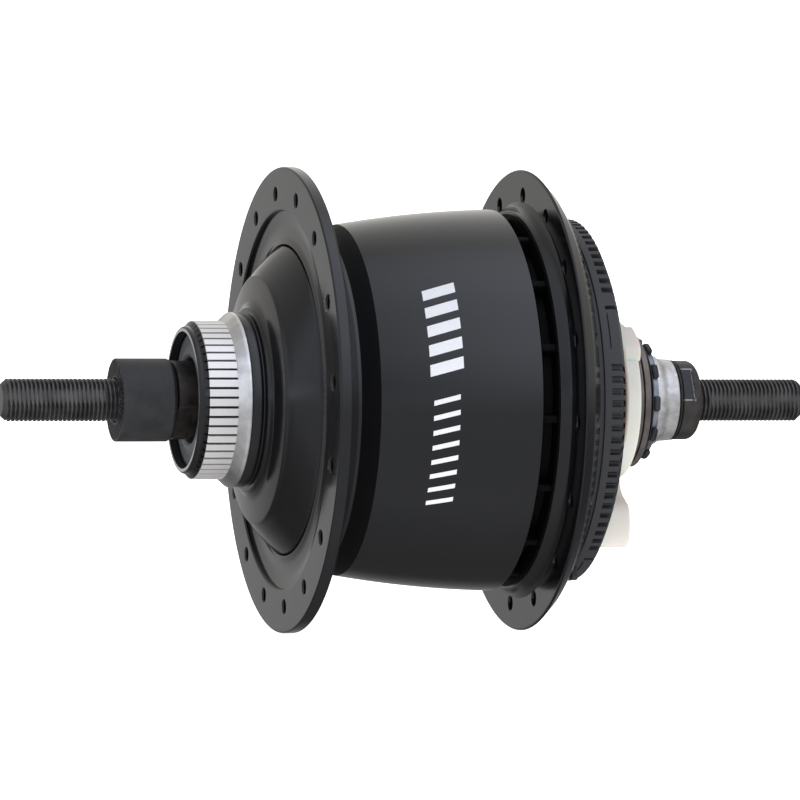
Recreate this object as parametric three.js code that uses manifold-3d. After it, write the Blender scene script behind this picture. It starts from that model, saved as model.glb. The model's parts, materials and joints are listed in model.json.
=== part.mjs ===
// A bicycle hub gear: an internally geared rear hub with a fixed axle along X.
// Millimetres, +Z up. The origin is on the axle, midway between the two dropout faces.
// +X points to the drive side, and -Y is the side that faces a person standing left of it.
import * as THREE from "three";
import { mergeVertices } from "three/addons/utils/BufferGeometryUtils.js";
import Module from "manifold-3d";

const wasm = await Module();
wasm.setup();

// Driving dimensions
const AXLE_LENGTH = 187;
const DROPOUT_WIDTH = 135;
const THREAD_RADIUS = 4.76;
const THREAD_FLAT = 4.2;
const FLANGE_RADIUS = 52.15;
const SPOKE_CIRCLE = 46.3;
const SPOKE_HOLE = 1.5;
const SPOKES_PER_FLANGE = 16;
const LEFT_SPOKE_ANGLE = 4.7;
const RIGHT_SPOKE_ANGLE = -6;
const SHELL_BORE = 36.4;
const SPLINE_TEETH = 52;
const SPLINE_CREST = 17.7;
const GAP = 0.3;

// Gear trains: both stages share one module and one planet circle
const MODULE = 1.1;
const PRESSURE_ANGLE = (25 * Math.PI) / 180;
const BACKLASH = 0.26;
const ADDENDUM = 0.8 * MODULE;
const DEDENDUM = 1.1 * MODULE;
const LOW = { sun: 30, planet: 12, ring: 54, from: 6, to: 16, ringOuter: 33.6 };
const HIGH = { sun: 32, planet: 10, ring: 52, from: -20, to: -8, ringOuter: 33 };
const PLANETS = 3;
const PLANET_CIRCLE = (MODULE * (LOW.sun + LOW.planet)) / 2;
const PIN_RADIUS = 2.7;

const BIG_SIDES = 28;
const MIDDLE_SIDES = 20;
const SMALL_SIDES = 16;
const DEGREE = Math.PI / 180;

// Materials
const finish = (colour, roughness, metalness) => () =>
  new THREE.MeshStandardMaterial({ color: colour, roughness, metalness });
const blackAnodised = finish(0x1d1e21, 0.32, 0.6);
const blackPlastic = finish(0x17171a, 0.55, 0);
const blackSteel = finish(0x3a3633, 0.5, 0.8);
const darkBronze = finish(0x4a4038, 0.45, 0.8);
const brightSteel = finish(0xb9bcc0, 0.25, 1);
const platedSteel = finish(0xc9ccd0, 0.35, 1);
const ivoryPlastic = finish(0xebe9e1, 0.5, 0);
const greyRubber = finish(0x55575a, 0.7, 0);

// Geometry helpers

const times = (count, make) => Array.from({ length: count }, (_, i) => make(i));

function bare(geometry) {
  geometry.deleteAttribute("normal");
  geometry.deleteAttribute("uv");
  return mergeVertices(geometry, 1e-4);
}

// A ring or shaft turned about X from a closed outline of [x, radius] points.
function turned(outline, sides = BIG_SIDES) {
  let area = 0;
  outline.forEach(([x, r], i) => {
    const [nextX, nextR] = outline[(i + 1) % outline.length];
    area += x * nextR - nextX * r;
  });
  const points = (area < 0 ? outline : [...outline].reverse()).map(([x, r]) => new THREE.Vector2(r, x));
  points.push(points[0].clone());
  return bare(new THREE.LatheGeometry(points, sides).rotateZ(-Math.PI / 2));
}

// A plain ring between two stations.
const ring = (from, to, inner, outer, sides) =>
  turned(
    [
      [from, inner],
      [from, outer],
      [to, outer],
      [to, inner],
    ],
    sides,
  );

// A flat shape pushed along X: shape x becomes +Y, shape y becomes +Z.
function pushed(shape, from, to) {
  const geometry = new THREE.ExtrudeGeometry(shape, { depth: to - from, bevelEnabled: false });
  const toAxle = new THREE.Matrix4().makeBasis(
    new THREE.Vector3(0, 1, 0),
    new THREE.Vector3(0, 0, 1),
    new THREE.Vector3(1, 0, 0),
  );
  return bare(geometry.applyMatrix4(toAxle).translate(from, 0, 0));
}

const polar = (radius, angle) => new THREE.Vector2(radius * Math.cos(angle), radius * Math.sin(angle));

// Degrees above the front (-Y) as an angle about +X from +Y.
const fromFront = (degrees) => Math.PI - degrees * DEGREE;

function circlePath(radius, sides) {
  return new THREE.Path(times(sides, (i) => polar(radius, (i * 2 * Math.PI) / sides)));
}

// A block that is a slice of a ring, centred on an angle in radians.
function sector(from, to, inner, outer, centre, widthDegrees) {
  const steps = Math.ceil(widthDegrees / 20);
  const half = (widthDegrees * DEGREE) / 2;
  const along = (radius, direction) =>
    times(steps + 1, (i) => polar(radius, centre + direction * half * ((2 * i) / steps - 1)));
  return pushed(new THREE.Shape([...along(outer, 1), ...along(inner, -1)]), from, to);
}

function solid(geometry) {
  return new wasm.Manifold(
    new wasm.Mesh({
      numProp: 3,
      vertProperties: geometry.getAttribute("position").array,
      triVerts: new Uint32Array(geometry.index.array),
    }),
  );
}

function geometryOf(made) {
  const mesh = made.getMesh();
  const geometry = new THREE.BufferGeometry();
  geometry.setAttribute("position", new THREE.BufferAttribute(mesh.vertProperties, 3));
  geometry.setIndex(new THREE.BufferAttribute(mesh.triVerts, 1));
  return geometry;
}

const join = (first, ...others) => others.reduce((whole, other) => whole.add(solid(other)), first);
const cut = (first, ...others) => others.reduce((whole, other) => whole.subtract(solid(other)), first);

function piece(name, geometry, material) {
  const mesh = new THREE.Mesh(geometry, material());
  mesh.name = name;
  mesh.geometry.computeVertexNormals();
  return mesh;
}

// Two boxes that leave a shaft or nut with a pair of flats.
function flats(from, to, halfAcross, normal) {
  const depth = 12;
  return [0, Math.PI].map((turn) => {
    const box = new THREE.BoxGeometry(to - from, depth, 2 * depth);
    box.translate((from + to) / 2, halfAcross + depth / 2, 0);
    return bare(box.rotateX(normal + turn));
  });
}

// Axle group, held in the dropouts

function axle() {
  const end = AXLE_LENGTH / 2;
  const chamfer = 1.4;
  const tip = 3.5;
  const body = turned(
    [
      [-end, 0],
      [-end, tip],
      [-end + chamfer, THREAD_RADIUS],
      [-44, THREAD_RADIUS],
      [-44, 7],
      [-24, 7],
      [-24, 8],
      [24, 8],
      [24, THREAD_RADIUS],
      [end - chamfer, THREAD_RADIUS],
      [end, tip],
      [end, 0],
    ],
    SMALL_SIDES,
  );
  const roundThread = 2.9;
  const face = DROPOUT_WIDTH / 2;
  return geometryOf(
    cut(
      solid(body),
      ...flats(-end - 1, -face - roundThread, THREAD_FLAT, fromFront(12)),
      ...flats(face + roundThread, end + 1, THREAD_FLAT, fromFront(0)),
    ),
  );
}

const NUT_BORE = 4.95;

const leftLocknut = () =>
  turned(
    [
      [-DROPOUT_WIDTH / 2, NUT_BORE],
      [-DROPOUT_WIDTH / 2, 9.28],
      [-55.8, 9.28],
      [-55, 8.56],
      [-55, NUT_BORE],
    ],
    SMALL_SIDES,
  );

function leftCone() {
  const body = turned(
    [
      [-54.9, NUT_BORE],
      [-54.9, 8.75],
      [-47.6, 8.75],
      [-46.2, 9.1],
      [-44.3, 10],
      [-44.3, NUT_BORE],
    ],
    SMALL_SIDES,
  );
  return geometryOf(cut(solid(body), ...flats(-56, -51.4, 7.5, fromFront(-41))));
}

// The cone is open under the selector ring, so that the ring's finger can reach the shift cam.
function rightCone() {
  const camBore = 7.2;
  const body = turned(
    [
      [45, camBore],
      [45, 8.7],
      [48, 9.5],
      [50.2, 10.5],
      [53.3, 9.9],
      [56, 9.9],
      [56, 10.5],
      [58.7, 10.5],
      [58.7, 9.3],
      [61.8, 9.3],
      [61.8, NUT_BORE],
      [56.2, NUT_BORE],
      [56.2, camBore],
    ],
    SMALL_SIDES,
  );
  return geometryOf(cut(solid(body), sector(53.4, 55.9, 6, 11, fromFront(-13), 200)));
}

const rightLockWasher = () => ring(61.95, 62.5, NUT_BORE, 9.1, SMALL_SIDES);

function rightLocknut() {
  const face = DROPOUT_WIDTH / 2;
  const body = turned(
    [
      [62.6, NUT_BORE],
      [62.6, 8.6],
      [62.9, 9],
      [face - 0.6, 9],
      [face, 8.4],
      [face, NUT_BORE],
    ],
    SMALL_SIDES,
  );
  return geometryOf(cut(solid(body), ...flats(62, 65.4, 8.1, fromFront(25.8))));
}

// Gears

const involute = (radius, base) => {
  const angle = Math.acos(Math.min(1, base / radius));
  return Math.tan(angle) - angle;
};

// Half the angle of a tooth (or of a ring gear's tooth space) at a radius.
function halfAngle(teeth, radius, slack) {
  const pitch = (MODULE * teeth) / 2;
  const base = pitch * Math.cos(PRESSURE_ANGLE);
  const atPitch = Math.PI / (2 * teeth) + slack / (4 * pitch);
  return atPitch + involute(pitch, base) - involute(Math.max(radius, base), base);
}

// Corners of straight-flanked teeth; the first tooth is centred on angle 0.
function toothCorners(teeth, rootRadius, tipRadius, rootHalf, tipHalf) {
  return times(teeth, (i) => {
    const centre = (i * 2 * Math.PI) / teeth;
    return [
      polar(rootRadius, centre - rootHalf),
      polar(tipRadius, centre - tipHalf),
      polar(tipRadius, centre + tipHalf),
      polar(rootRadius, centre + rootHalf),
    ];
  }).flat();
}

function externalGear(teeth, from, to, bore, boreSides) {
  const pitch = (MODULE * teeth) / 2;
  const root = pitch - DEDENDUM;
  const tip = pitch + ADDENDUM;
  const rootHalf = halfAngle(teeth, root, -BACKLASH);
  const tipHalf = halfAngle(teeth, tip, -BACKLASH);
  const shape = new THREE.Shape(toothCorners(teeth, root, tip, rootHalf, tipHalf));
  shape.holes.push(circlePath(bore, boreSides));
  return pushed(shape, from, to);
}

// The toothed stretch of a ring gear. Its tooth spaces are widest at the outside.
function internalGear({ ring: teeth, from, to, ringOuter }) {
  const pitch = (MODULE * teeth) / 2;
  const root = pitch + DEDENDUM;
  const tip = pitch - ADDENDUM;
  const step = Math.PI / teeth;
  const rootHalf = step - halfAngle(teeth, root, BACKLASH);
  const tipHalf = step - halfAngle(teeth, tip, BACKLASH);
  const shape = new THREE.Shape(circlePath(ringOuter, BIG_SIDES).getPoints());
  shape.holes.push(new THREE.Path(toothCorners(teeth, root, tip, rootHalf, tipHalf)));
  return pushed(shape, from, to);
}

const SUN_BORE = 8.3;
const sunGear = (train) => externalGear(train.sun, train.from, train.to, SUN_BORE, SMALL_SIDES);
const sunSpacer = () => ring(HIGH.to + GAP, LOW.from - GAP, SUN_BORE, 10.4, SMALL_SIDES);

// The low ring gear's drum runs on past its teeth and over the driver's spigot.
function lowRingGear() {
  const drum = ring(LOW.to - 1, 26, 31, LOW.ringOuter);
  return geometryOf(join(solid(internalGear(LOW)), drum));
}

const highRingGear = () => internalGear(HIGH);

const PLANET_BORE = PIN_RADIUS + 0.5;
const PIN_SIDES = 8;
const planetAngle = (index) => Math.PI / 2 + (index * 2 * Math.PI) / PLANETS;

function placeOnCircle(mesh, index) {
  const at = polar(PLANET_CIRCLE, planetAngle(index));
  mesh.position.set(0, at.x, at.y);
  return mesh;
}

// A planet turned so that its teeth fall in the sun's and the ring's spaces.
function planet(name, train, index) {
  const gear = externalGear(train.planet, train.from, train.to, PLANET_BORE, PIN_SIDES);
  const mesh = piece(name, gear, brightSteel);
  const direction = planetAngle(index);
  mesh.rotation.x = direction + (direction * train.sun) / train.planet - Math.PI / train.planet;
  return placeOnCircle(mesh, index);
}

// Three plates joined by three pillars between the planets, with a bore for each pin.
function planetCarrier() {
  const plateRadius = 30;
  const plates = [
    [-23.5, -21.2, 9],
    [-6.5, 4.5, 11],
    [17.5, 20, 9],
  ].map(([from, to, bore]) => ring(from, to, bore, plateRadius, MIDDLE_SIDES));
  const pillars = times(PLANETS, (i) => sector(-22, 18, 20, 26, planetAngle(i + 0.5), 30));
  const bores = times(PLANETS, (i) => {
    const at = polar(PLANET_CIRCLE, planetAngle(i));
    return ring(-25, 22, 0, PIN_RADIUS + 0.15, PIN_SIDES).translate(0, at.x, at.y);
  });
  const [first, ...rest] = [...plates, ...pillars];
  return geometryOf(cut(join(solid(first), ...rest), ...bores));
}

const planetPin = () => ring(-23.4, 19.9, 0, PIN_RADIUS, PIN_SIDES);

// Ball cages and the roller clutch: a thin ring that carries its balls or rollers

function ballCage(at, circle, ball, count) {
  const half = ball * 0.45;
  const cage = ring(at - half, at + half, circle - 0.45, circle + 0.45, MIDDLE_SIDES);
  const balls = times(count, (i) => {
    const place = polar(circle, (i * 2 * Math.PI) / count);
    return bare(new THREE.IcosahedronGeometry(ball, 0).translate(at, place.x, place.y));
  });
  return geometryOf(join(solid(cage), ...balls));
}

function rollerClutch() {
  const circle = 34.7;
  const count = 8;
  const cage = ring(HIGH.from + 1, HIGH.to - 1, circle - 0.4, circle + 0.4, MIDDLE_SIDES);
  const rollers = times(count, (i) => {
    const place = polar(circle, (i * 2 * Math.PI) / count);
    return ring(HIGH.from + 1.5, HIGH.to - 1.5, 0, 1.3, 6).translate(0, place.x, place.y);
  });
  return geometryOf(join(solid(cage), ...rollers));
}

// Shell group

// The barrel swells gently from the crease beside the left flange to the drive side.
const CREASE = -16.7;
const CREASE_RADIUS = 39.45;
const barrelRadius = (x) => CREASE_RADIUS + 0.176 * (x - CREASE) - 0.0021 * (x - CREASE) ** 2;

function hubShell() {
  const cupBore = 40;
  const capBore = 34.85;
  const grooveFloor = 38.6;
  const barrel = [CREASE - 0.4, -5, 7, 18.4].map((x) => [x, barrelRadius(x)]);
  const body = turned([
    [-29, capBore],
    [-28.8, 42.4],
    [-29.7, 42.4],
    [-29.7, 51.4],
    [-29, FLANGE_RADIUS],
    [-27.3, FLANGE_RADIUS],
    [-26.9, 44],
    [-25.6, 40],
    [-23.2, 38],
    [-21, 37.8],
    ...barrel,
    [19.3, 42.3],
    [19.3, grooveFloor],
    [22.8, grooveFloor],
    [22.8, 43.9],
    [25.7, 43.9],
    [25.7, 51.8],
    [26.1, FLANGE_RADIUS],
    [28.6, 49.5],
    [31, 45.8],
    [31, cupBore],
    [24, cupBore],
    [24, SHELL_BORE],
    [-21.7, SHELL_BORE],
    [-21.7, capBore],
  ]);
  const webs = times(SPOKES_PER_FLANGE, (i) => {
    const web = new THREE.BoxGeometry(4.5, 3.6, 1.8).translate(21, 40.2, 0);
    return bare(web.rotateX(fromFront(RIGHT_SPOKE_ANGLE + (i * 360) / SPOKES_PER_FLANGE)));
  });
  const spokeHoles = (from, to, angle) =>
    times(SPOKES_PER_FLANGE, (i) => {
      const at = polar(SPOKE_CIRCLE, fromFront(angle + (i * 360) / SPOKES_PER_FLANGE));
      return ring(from, to, 0, SPOKE_HOLE, 6).translate(0, at.x, at.y);
    });
  return geometryOf(
    cut(
      join(solid(body), ...webs),
      ...spokeHoles(-31, -25, LEFT_SPOKE_ANGLE),
      ...spokeHoles(24, 32, RIGHT_SPOKE_ANGLE),
    ),
  );
}

// The bell that closes the left side. Its neck carries the rotor spline and the left ball cup.
function brakeSideEndCap() {
  const splineRoot = 16.7;
  const bell = turned([
    [-52.1, 15.2],
    [-52.1, 16.3],
    [-51, splineRoot],
    [-43.7, splineRoot],
    [-43.6, SPLINE_CREST],
    [-41.5, 19.63],
    [-38.5, 19.5],
    [-36.4, 22.2],
    [-35.4, 27.9],
    [-32.2, 31.8],
    [-29.1, 34.6],
    [-22, 34.6],
    [-22, 31.5],
    [-27.5, 31.2],
    [-33.5, 24],
    [-37.5, 14],
    [-43.4, 13.2],
    [-45.5, 14.7],
    [-48.8, 14.7],
    [-48.8, 15.2],
  ]);
  const pitch = (2 * Math.PI) / SPLINE_TEETH;
  const corners = times(SPLINE_TEETH, (i) => [
    polar(splineRoot, (i - 0.5) * pitch),
    polar(SPLINE_CREST, (i - 0.36) * pitch),
    polar(SPLINE_CREST, (i + 0.36) * pitch),
  ]).flat();
  const spline = new THREE.Shape(corners);
  spline.holes.push(circlePath(15.9, BIG_SIDES));
  return geometryOf(join(solid(bell), pushed(spline, -50.1, -43.4)));
}

const leftDustSeal = () =>
  turned([
    [-50.7, 9.3],
    [-50.3, 14.9],
    [-49.1, 14.9],
    [-49.1, 9.3],
  ]);

// The steel cup screwed into the drive side of the shell.
const driveSideCup = () =>
  turned([
    [24.3, 36.9],
    [24.3, 39.7],
    [33, 39.7],
    [33, 34.6],
    [31.4, 34.6],
    [30.8, 36.9],
  ]);

const driveSideDustCap = () =>
  turned([
    [31.8, 39.9],
    [31.8, 40.5],
    [33.6, 40.5],
    [33.6, 41],
    [37.7, 41],
    [39.5, 37.4],
    [39.8, 36.5],
    [39.8, 18.4],
    [38.2, 18.4],
    [38.2, 36.3],
    [36.7, 39.3],
    [33.6, 39.3],
    [33.2, 39.9],
  ]);

// Driver group

const driver = () =>
  turned(
    [
      [22, 28],
      [22, 30.6],
      [26.4, 30.6],
      [26.4, 32.3],
      [30.4, 32.3],
      [30.4, 29],
      [31.5, 17.4],
      [35, 16.2],
      [49.9, 16.2],
      [49.9, 14.4],
      [45.3, 14.4],
      [44.4, 12.6],
      [44.4, 9.6],
      [28.6, 9.6],
      [28.6, 26],
      [26, 28],
    ],
    MIDDLE_SIDES,
  );

const DISC_BORE = 11.2;
const innerDisc = () => ring(50.2, 51.2, DISC_BORE, 15.2, MIDDLE_SIDES);
const outerDisc = () => ring(51.5, 52.9, DISC_BORE, 15.2, MIDDLE_SIDES);

// The clip that keeps the driver's parts together, with a raised grip and a pull tab hanging below.
function retainingClip() {
  const from = 42;
  const to = 49.7;
  const band = ring(from, to, 16.5, 17.8, MIDDLE_SIDES);
  const grip = sector(from + 2, to + 0.5, 17, 19.7, fromFront(42), 28);
  const tabHalf = [
    [2, -17.2],
    [2.2, -19.4],
    [4.4, -21.2],
    [8.6, -23.2],
    [9.6, -25.5],
    [9.6, -31],
    [8, -33.4],
  ];
  const corners = [...tabHalf, ...[...tabHalf].reverse().map(([y, z]) => [-y, z])];
  const tab = new THREE.Shape(corners.map(([y, z]) => new THREE.Vector2(y, z)));
  return geometryOf(join(solid(band), grip, pushed(tab, from, to)));
}

// Selector group

function selectorRing() {
  const from = 53.8;
  const to = 55.6;
  const base = ring(from, to, 10.3, 12.7, MIDDLE_SIDES);
  const lugCount = 11;
  const lugs = times(lugCount, (i) => sector(from, to, 12.3, 13.9, fromFront(-3.6 + (360 / lugCount) * i), 15));
  const finger = sector(from, to, 7.3, 10.8, fromFront(-13), 24);
  return geometryOf(join(solid(base), ...lugs, finger));
}

// A thin sleeve on the axle, with a stepped end cam inside and a notch for the selector's finger.
function shiftCam() {
  const sleeve = ring(26, 55.8, 5.1, 6.9, SMALL_SIDES);
  const cams = [
    [24.6, 26.4, 200, 120],
    [25.3, 26.4, 140, 60],
  ].map(([from, to, centre, width]) => sector(from, to, 5.2, 6.8, centre * DEGREE, width));
  return geometryOf(join(solid(sleeve), ...cams));
}

// The whole hub

const hub = new THREE.Group();

hub.add(
  piece("axle", axle(), blackSteel),
  piece("left_locknut", leftLocknut(), blackSteel),
  piece("left_cone", leftCone(), blackSteel),
  piece("high_sun_gear", sunGear(HIGH), brightSteel),
  piece("sun_spacer", sunSpacer(), brightSteel),
  piece("low_sun_gear", sunGear(LOW), brightSteel),
  piece("right_cone", rightCone(), platedSteel),
  piece("right_lock_washer", rightLockWasher(), blackSteel),
  piece("right_locknut", rightLocknut(), blackSteel),
);

hub.add(piece("selector_ring", selectorRing(), blackSteel), piece("shift_cam", shiftCam(), brightSteel));

hub.add(
  piece("hub_shell", hubShell(), blackAnodised),
  piece("brake_side_end_cap", brakeSideEndCap(), blackAnodised),
  piece("left_dust_seal", leftDustSeal(), greyRubber),
  piece("drive_side_cup", driveSideCup(), brightSteel),
  piece("drive_side_dust_cap", driveSideDustCap(), blackPlastic),
  piece("high_ring_gear", highRingGear(), brightSteel),
  piece("roller_clutch", rollerClutch(), brightSteel),
);

hub.add(
  piece("driver", driver(), brightSteel),
  piece("low_ring_gear", lowRingGear(), brightSteel),
  piece("driver_inner_disc", innerDisc(), darkBronze),
  piece("driver_outer_disc", outerDisc(), darkBronze),
  piece("retaining_clip", retainingClip(), ivoryPlastic),
);

hub.add(piece("planet_carrier", planetCarrier(), brightSteel));
times(PLANETS, (i) => {
  hub.add(placeOnCircle(piece(`planet_pin_${i + 1}`, planetPin(), brightSteel), i));
  hub.add(planet(`low_planet_${i + 1}`, LOW, i));
  hub.add(planet(`high_planet_${i + 1}`, HIGH, i));
});

hub.add(
  piece("left_ball_cage", ballCage(-46.2, 12, 2.38, 8), brightSteel),
  piece("driver_ball_cage", ballCage(48, 12, 2, 8), brightSteel),
  piece("shell_ball_cage", ballCage(28.4, 34.6, 1.95, 12), brightSteel),
);

export default hub;
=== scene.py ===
"""A bicycle hub gear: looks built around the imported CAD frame. Lengths here are in millimetres until MM."""

import json
import math

import bmesh
import bpy
from mathutils import Matrix, Vector

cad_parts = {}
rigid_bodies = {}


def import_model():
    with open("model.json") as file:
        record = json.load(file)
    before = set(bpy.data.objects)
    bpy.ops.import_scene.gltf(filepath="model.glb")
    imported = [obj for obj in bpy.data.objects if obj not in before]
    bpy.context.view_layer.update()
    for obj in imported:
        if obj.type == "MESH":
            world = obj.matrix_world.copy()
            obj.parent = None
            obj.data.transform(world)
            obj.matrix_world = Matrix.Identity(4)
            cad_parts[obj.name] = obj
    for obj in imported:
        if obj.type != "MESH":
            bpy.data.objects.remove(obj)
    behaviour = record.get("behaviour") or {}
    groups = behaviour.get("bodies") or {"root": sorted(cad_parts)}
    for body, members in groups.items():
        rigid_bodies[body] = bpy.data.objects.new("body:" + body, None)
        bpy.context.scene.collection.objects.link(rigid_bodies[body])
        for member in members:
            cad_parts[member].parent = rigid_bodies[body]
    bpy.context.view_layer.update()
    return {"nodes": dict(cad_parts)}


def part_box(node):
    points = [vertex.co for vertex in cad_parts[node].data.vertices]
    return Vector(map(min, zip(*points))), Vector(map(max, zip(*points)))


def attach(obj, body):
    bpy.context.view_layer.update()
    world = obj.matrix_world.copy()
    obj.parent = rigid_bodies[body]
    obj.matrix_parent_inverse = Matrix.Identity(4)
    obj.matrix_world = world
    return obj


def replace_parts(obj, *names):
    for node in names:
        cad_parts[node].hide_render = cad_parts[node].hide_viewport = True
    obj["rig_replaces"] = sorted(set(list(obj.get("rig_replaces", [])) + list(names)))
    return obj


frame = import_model()

MM = 0.001
TURN = 2 * math.pi

# Driving dimensions, matching the CAD part
AXLE_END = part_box("axle")[1].x / MM
DROPOUT_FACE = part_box("left_locknut")[0].x / MM
THREAD_RADIUS = 4.76
THREAD_PITCH = 25.4 / 26
FLANGE_RADIUS = 52.15
SPOKE_CIRCLE = 46.3
SPOKE_COUNT = 16
LEFT_SPOKE_ANGLE = 4.7
RIGHT_SPOKE_ANGLE = -6.0
SPLINE_TEETH = 52
SPLINE_CREST = 17.7
CAP_PITCHES = 96
CAP_SLOTS = 18
CAP_FIRST_SLOT = 10.1
CAP_LUG = -61.8
NUT_FLAT = 25.8


def front(degrees):
    """An angle in degrees above the front (-Y), as an angle about +X from +Y."""
    return math.pi - math.radians(degrees)


# Node material helpers


class Nodes:
    """Builds a node tree with short calls."""

    def __init__(self, tree):
        self.nodes = tree.nodes
        self.links = tree.links

    def node(self, kind, inputs=(), **settings):
        made = self.nodes.new("ShaderNode" + kind)
        for key, value in settings.items():
            setattr(made, key, value)
        for key, value in dict(inputs).items():
            if isinstance(value, bpy.types.NodeSocket):
                self.links.new(value, made.inputs[key])
            else:
                made.inputs[key].default_value = value
        return made

    def math(self, operation, *values):
        return self.node("Math", enumerate(values), operation=operation).outputs[0]

    def ramp(self, value, low, high, low_out=0.0, high_out=1.0):
        made = self.node("MapRange", {0: value, 1: low, 2: high, 3: low_out, 4: high_out})
        return made.outputs[0]


class Shade(Nodes):
    """A material round one Principled shader."""

    def __init__(self, name, color, roughness, metallic=0.0, **sockets):
        self.material = bpy.data.materials.new(name)
        self.material.use_nodes = True
        super().__init__(self.material.node_tree)
        self.bsdf = self.nodes["Principled BSDF"]
        self.bsdf.inputs["Base Color"].default_value = (*color, 1)
        self.bsdf.inputs["Roughness"].default_value = roughness
        self.bsdf.inputs["Metallic"].default_value = metallic
        for socket, value in sockets.items():
            self.bsdf.inputs[socket.replace("_", " ")].default_value = value
        self.coords = self.nodes.new("ShaderNodeTexCoord").outputs["Object"]

    def split(self):
        """The object's x, y and z, in metres."""
        return self.node("SeparateXYZ", {0: self.coords}).outputs

    def millimetres(self, axis):
        return self.math("MULTIPLY", self.split()[axis], 1 / MM)

    def radius(self):
        """Distance from the axle, in millimetres."""
        axis = self.split()
        squares = self.math("ADD", self.math("POWER", axis[1], 2.0), self.math("POWER", axis[2], 2.0))
        return self.math("MULTIPLY", self.math("SQRT", squares), 1 / MM)

    def noise(self, scale, detail=3.0, stretch=(1, 1, 1), roughness=0.55):
        """Noise at a scale per metre, stretched along the object's axes."""
        vector = self.node("Mapping", {"Vector": self.coords, "Scale": stretch}).outputs[0]
        made = self.node(
            "TexNoise", {"Vector": vector, "Scale": scale, "Detail": detail, "Roughness": roughness}
        )
        return made.outputs[0]

    def turned_lines(self, scale, detail=4.0):
        """Fine rings, as a lathe tool leaves them: noise in x and radius only."""
        vector = self.node(
            "CombineXYZ", {0: self.split()[0], 1: self.math("MULTIPLY", self.radius(), MM)}
        ).outputs[0]
        made = self.node(
            "TexNoise", {"Vector": vector, "Scale": scale, "Detail": detail, "Roughness": 0.7}
        )
        return made.outputs[0]

    def mix(self, factor, first, second):
        """Mixes two colours."""
        made = self.node("Mix", {0: factor}, data_type="RGBA")
        for index, value in ((6, first), (7, second)):
            if isinstance(value, bpy.types.NodeSocket):
                self.links.new(value, made.inputs[index])
            else:
                made.inputs[index].default_value = (*value, 1)
        return made.outputs[2]

    def color(self, value):
        self.links.new(value, self.bsdf.inputs["Base Color"])

    def roughness(self, value):
        self.links.new(value, self.bsdf.inputs["Roughness"])

    def metallic(self, value):
        self.links.new(value, self.bsdf.inputs["Metallic"])

    def bump(self, height, distance, strength=1.0):
        made = self.node("Bump", {"Height": height, "Distance": distance * MM, "Strength": strength})
        self.links.new(made.outputs[0], self.bsdf.inputs["Normal"])


# Materials


def black_anodised():
    shade = Shade("black_anodised", (0.004, 0.004, 0.0045), 0.16, 0.0, Specular_IOR_Level=0.52)
    lines = shade.turned_lines(5200)
    cloud = shade.noise(60, 3)
    tint = shade.mix(cloud, (0.003, 0.003, 0.0034), (0.0055, 0.0055, 0.0062))
    shade.color(tint)
    shade.roughness(shade.ramp(shade.math("ADD", lines, cloud), 0.6, 1.4, 0.1, 0.19))
    shade.bump(lines, 0.004, 0.6)
    return shade.material


def shaded_black():
    """The same coating over a coarse turned surface: dull, with no clear reflections, and darker as painted
    shade.
    """
    shade = Shade("shaded_black", (0.002, 0.002, 0.0022), 0.55, 0.0, Specular_IOR_Level=0.12)
    lines = shade.turned_lines(2600)
    cloud = shade.noise(140, 3)
    shade.color(shade.mix(cloud, (0.0014, 0.0014, 0.0016), (0.003, 0.003, 0.0034)))
    shade.roughness(shade.ramp(shade.math("ADD", lines, cloud), 0.6, 1.4, 0.48, 0.64))
    shade.bump(lines, 0.01, 0.7)
    return shade.material


def machined_spline():
    """Bare aluminium on the crests, black coating left in the grooves."""
    shade = Shade("machined_spline", (0.86, 0.87, 0.88), 0.38, 0.75)
    crest = shade.ramp(shade.radius(), SPLINE_CREST - 0.5, SPLINE_CREST - 0.2)
    lines = shade.turned_lines(3000)
    bright = shade.mix(lines, (0.76, 0.735, 0.71), (0.95, 0.925, 0.9))
    shade.color(shade.mix(crest, (0.012, 0.012, 0.013), bright))
    shade.metallic(shade.math("MULTIPLY", crest, 0.7))
    shade.roughness(shade.ramp(lines, 0.3, 0.7, 0.3, 0.48))
    shade.bump(lines, 0.006, 0.5)
    return shade.material


def brushed_collar():
    shade = Shade("brushed_collar", (0.75, 0.76, 0.78), 0.3, 1.0)
    lines = shade.turned_lines(4200, 5)
    turned = shade.mix(lines, (0.5, 0.5, 0.5), (0.8, 0.79, 0.78))
    streaks = shade.ramp(shade.noise(170, 4, (0.3, 1, 1)), 0.4, 0.62)
    shade.color(shade.mix(streaks, turned, (0.95, 0.93, 0.91)))
    shade.roughness(shade.ramp(lines, 0.3, 0.7, 0.24, 0.44))
    shade.bump(lines, 0.01, 0.7)
    return shade.material


def steel(
    name, low, high, roughness, metallic=0.9, spots=0.0, spot_color=(0.5, 0.5, 0.5), bump=0.01, painted_highlight=None
):
    """Oxide-coated or plain steel with cloudy tone and, if wanted, worn spots and painted highlights of its own.
    """
    shade = Shade(name, low, roughness, metallic)
    cloud = shade.noise(260, 5)
    grain = shade.noise(2600, 4)
    color = shade.mix(shade.ramp(cloud, 0.35, 0.65), low, high)
    if spots:
        worn = shade.ramp(shade.noise(900, 6, roughness=0.7), 0.72 - spots, 0.78 - spots)
        color = shade.mix(worn, color, spot_color)
    if painted_highlight:
        color = painted_highlight(shade, color)
    shade.color(color)
    shade.roughness(
        shade.ramp(shade.math("ADD", cloud, grain), 0.7, 1.3, roughness - 0.07, roughness + 0.1)
    )
    shade.bump(grain, bump, 0.8)
    return shade.material


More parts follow.
